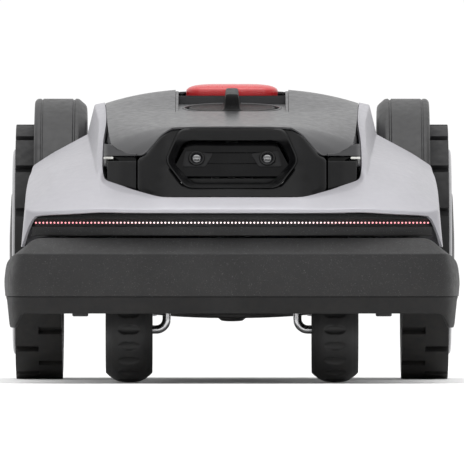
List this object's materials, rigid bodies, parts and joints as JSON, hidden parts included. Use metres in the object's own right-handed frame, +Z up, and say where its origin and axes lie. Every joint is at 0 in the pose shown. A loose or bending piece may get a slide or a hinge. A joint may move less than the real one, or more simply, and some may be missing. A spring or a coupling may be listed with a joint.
{
  "type": "robotic lawn mower",
  "caption": "Four-wheeled robotic lawn mower: grey moulded body, front bumper with light bar, stop button, cutting-height knob, lugged rear wheels, swivel casters, swinging-blade disc.",
  "frame": {"origin": "on the ground under the centre of the bounding box", "axes": "+Z up, +Y towards the tail, so the bumper faces -Y, +X towards the machine's left side"},
  "size_m": [0.43, 0.64, 0.284],
  "materials": {
    "cover_plastic": "satin",
    "hood_plastic": "satin",
    "fascia_gloss": "gloss",
    "bumper_plastic": "textured matte",
    "skirt_plastic": "matte",
    "fender_plastic": "satin",
    "chassis_plastic": "matte",
    "lens_glass": "coated",
    "window_dark": "gloss",
    "light_red": "translucent",
    "circuit_board": "solder mask",
    "contact_brass": "plain",
    "battery_case": "satin",
    "screw_steel": "plain",
    "bright_steel": "bright zinc",
    "motor_metal": "cast",
    "bush_brass": "sintered",
    "button_red": "satin gloss",
    "knob_black": "fine texture",
    "drum_nylon": "plain",
    "disc_plastic": "matte",
    "blade_steel": "ground",
    "tread_rubber": "matte",
    "caster_rubber": "matte",
    "rim_plastic": "satin",
    "buffer_rubber": "matte",
    "cable_black": "plain"
  },
  "bodies": {
    "chassis": {"chassis_pan": "chassis_plastic", "top_cover": "cover_plastic", "hood": "hood_plastic", "control_tray": "hood_plastic", "nose_panel": "fascia_gloss", "corner_panels": "fascia_gloss", "camera_bezel": "fascia_gloss", "camera_window": "window_dark", "camera_ramp": "fascia_gloss", "camera_lenses": "lens_glass", "camera_board": "circuit_board", "light_bar_housing": "bumper_plastic", "light_bar_strip": "light_red", "light_board": "circuit_board", "fender_left": "fender_plastic", "fender_right": "fender_plastic", "tail_panel": "fender_plastic", "charge_contacts": "contact_brass", "battery_pack": "battery_case", "battery_door": "chassis_plastic", "underside_screws": "screw_steel", "main_board": "circuit_board", "wiring": "cable_black", "drive_motors": "motor_metal", "caster_bushes": "bush_brass", "guide_rods": "bright_steel", "lift_frame": "chassis_plastic", "stop_switch": "window_dark", "stop_spring": "screw_steel", "bumper_buffers": "buffer_rubber"},
    "bumper": {"bumper_shell": "bumper_plastic", "bumper_skirt": "skirt_plastic", "bumper_pins": "bright_steel"},
    "stop_key": {"stop_button": "button_red", "stop_stem": "window_dark"},
    "height_knob": {"knob_dial": "knob_black", "knob_grip": "knob_black", "knob_drum": "drum_nylon"},
    "cutting_deck": {"deck_carriage": "disc_plastic", "deck_arm": "screw_steel", "blade_motor": "motor_metal"},
    "blade_rotor": {"blade_disc": "disc_plastic", "blade_screws": "screw_steel"},
    "cutter_1": {"blade_1": "blade_steel"},
    "cutter_2": {"blade_2": "blade_steel"},
    "cutter_3": {"blade_3": "blade_steel"},
    "caster_left": {"caster_fork_left": "bright_steel"},
    "caster_wheel_left": {"caster_tyre_left": "caster_rubber", "caster_hub_left": "disc_plastic"},
    "drive_wheel_left": {"drive_tyre_left": "tread_rubber", "wheel_disc_left": "rim_plastic", "hub_cap_left": "fender_plastic", "wheel_axle_left": "screw_steel"},
    "caster_right": {"caster_fork_right": "bright_steel"},
    "caster_wheel_right": {"caster_tyre_right": "caster_rubber", "caster_hub_right": "disc_plastic"},
    "drive_wheel_right": {"drive_tyre_right": "tread_rubber", "wheel_disc_right": "rim_plastic", "hub_cap_right": "fender_plastic", "wheel_axle_right": "screw_steel"}
  },
  "joints": [
    {"name": "bumper_press", "type": "slide", "parent": "chassis", "child": "bumper", "axis": [0, 1, 0], "range_m": [0, 0.006], "stiffness_N_per_m": 1500, "springref_m": -0.003, "deforming": ["bumper_buffers"]},
    {"name": "stop_press", "type": "slide", "parent": "chassis", "child": "stop_key", "axis": [0, 0, -1], "range_m": [0, 0.004], "stiffness_N_per_m": 1500, "springref_m": -0.002, "deforming": ["stop_spring"]},
    {"name": "height_turn", "type": "hinge", "parent": "chassis", "child": "height_knob", "pos_m": [0, -0.02955, 0.25698], "axis": [0, -0.1045, 0.9945], "range_deg": [0, 270]},
    {"name": "deck_lift", "type": "slide", "parent": "chassis", "child": "cutting_deck", "axis": [0, 0.1045, -0.9945], "range_m": [0, 0.04]},
    {"name": "disc_spin", "type": "hinge", "parent": "cutting_deck", "child": "blade_rotor", "pos_m": [0, -0.01, 0.071], "axis": [0, -0.1045, 0.9945], "continuous": true},
    {"name": "blade_swing_1", "type": "hinge", "parent": "blade_rotor", "child": "cutter_1", "pos_m": [0, 0.07762, 0.0792], "axis": [0, -0.1045, 0.9945], "continuous": true},
    {"name": "blade_swing_2", "type": "hinge", "parent": "blade_rotor", "child": "cutter_2", "pos_m": [-0.07621, -0.05365, 0.06541], "axis": [0, -0.1045, 0.9945], "continuous": true},
    {"name": "blade_swing_3", "type": "hinge", "parent": "blade_rotor", "child": "cutter_3", "pos_m": [0.07621, -0.05365, 0.06541], "axis": [0, -0.1045, 0.9945], "continuous": true},
    {"name": "caster_swivel_left", "type": "hinge", "parent": "chassis", "child": "caster_left", "pos_m": [0.097, -0.215, 0.13], "axis": [0, 0, 1], "continuous": true},
    {"name": "caster_roll_left", "type": "hinge", "parent": "caster_left", "child": "caster_wheel_left", "pos_m": [0.097, -0.19, 0.05], "axis": [1, 0, 0], "continuous": true},
    {"name": "wheel_spin_left", "type": "hinge", "parent": "chassis", "child": "drive_wheel_left", "pos_m": [0.186, 0.185, 0.123], "axis": [1, 0, 0], "continuous": true},
    {"name": "caster_swivel_right", "type": "hinge", "parent": "chassis", "child": "caster_right", "pos_m": [-0.097, -0.215, 0.13], "axis": [0, 0, 1], "continuous": true},
    {"name": "caster_roll_right", "type": "hinge", "parent": "caster_right", "child": "caster_wheel_right", "pos_m": [-0.097, -0.19, 0.05], "axis": [1, 0, 0], "continuous": true},
    {"name": "wheel_spin_right", "type": "hinge", "parent": "chassis", "child": "drive_wheel_right", "pos_m": [-0.186, 0.185, 0.123], "axis": [1, 0, 0], "continuous": true}
  ],
  "couplings": [
    {"joint": "deck_lift", "follows": "height_turn", "m_per_rad": 0.0084883}
  ]
}
